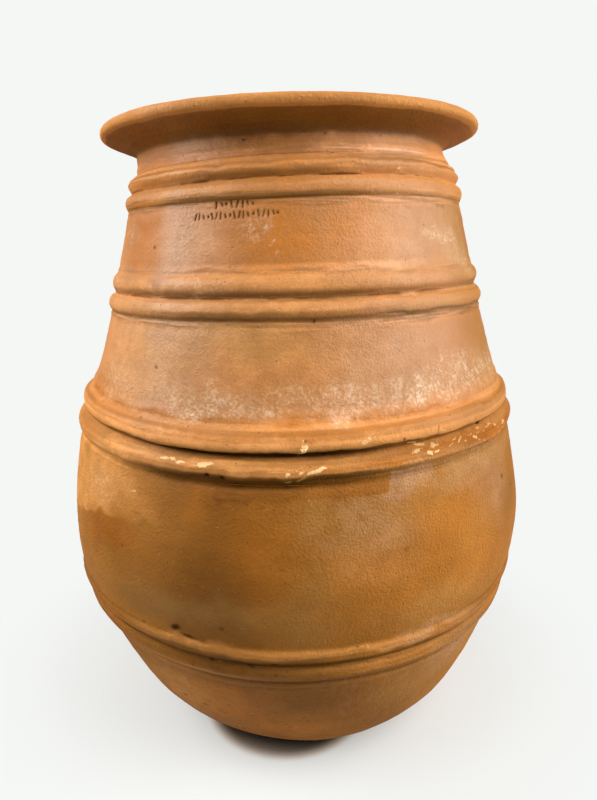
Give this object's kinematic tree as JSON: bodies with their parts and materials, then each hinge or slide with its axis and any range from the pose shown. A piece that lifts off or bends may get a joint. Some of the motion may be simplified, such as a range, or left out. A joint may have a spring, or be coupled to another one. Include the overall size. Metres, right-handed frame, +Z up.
{
  "type": "amphora",
  "caption": "Tall wide-bellied terracotta storage jar with a flared rim and bands of twin coils, built from stacked rings of wall.",
  "frame": {"origin": "centre of the flat foot, on the ground", "axes": "+Z up along the jar's axis; the jar is round, so +X and +Y are free, and the small stamped mark is on the -Y side"},
  "size_m": [0.7185, 0.7186, 0.9],
  "materials": {
    "terracotta_wall": "unglazed fired clay, burnished to a soft sheen, with kiln bloom and lime haze",
    "terracotta_coil": "unglazed fired clay, finger-smoothed, lighter on the crests",
    "clay_lute": "fired slip, dark in the joint lines"
  },
  "bodies": {
    "root": {"base_slab": "terracotta_wall", "foot_wall": "terracotta_wall", "belly_wall": "terracotta_wall", "shoulder_wall": "terracotta_wall", "neck_wall": "terracotta_wall", "collar_wall": "terracotta_wall", "flared_rim": "terracotta_wall", "foot_coil_lower": "terracotta_coil", "foot_coil_upper": "terracotta_coil", "belly_coil_lower": "terracotta_coil", "belly_coil_upper": "terracotta_coil", "shoulder_coil_lower": "terracotta_coil", "shoulder_coil_upper": "terracotta_coil", "neck_coil_lower": "terracotta_coil", "neck_coil_upper": "terracotta_coil", "base_lute": "clay_lute", "foot_lute": "clay_lute", "belly_lute": "clay_lute", "shoulder_lute": "clay_lute", "neck_lute": "clay_lute", "rim_lute": "clay_lute"}
  },
  "joints": []
}
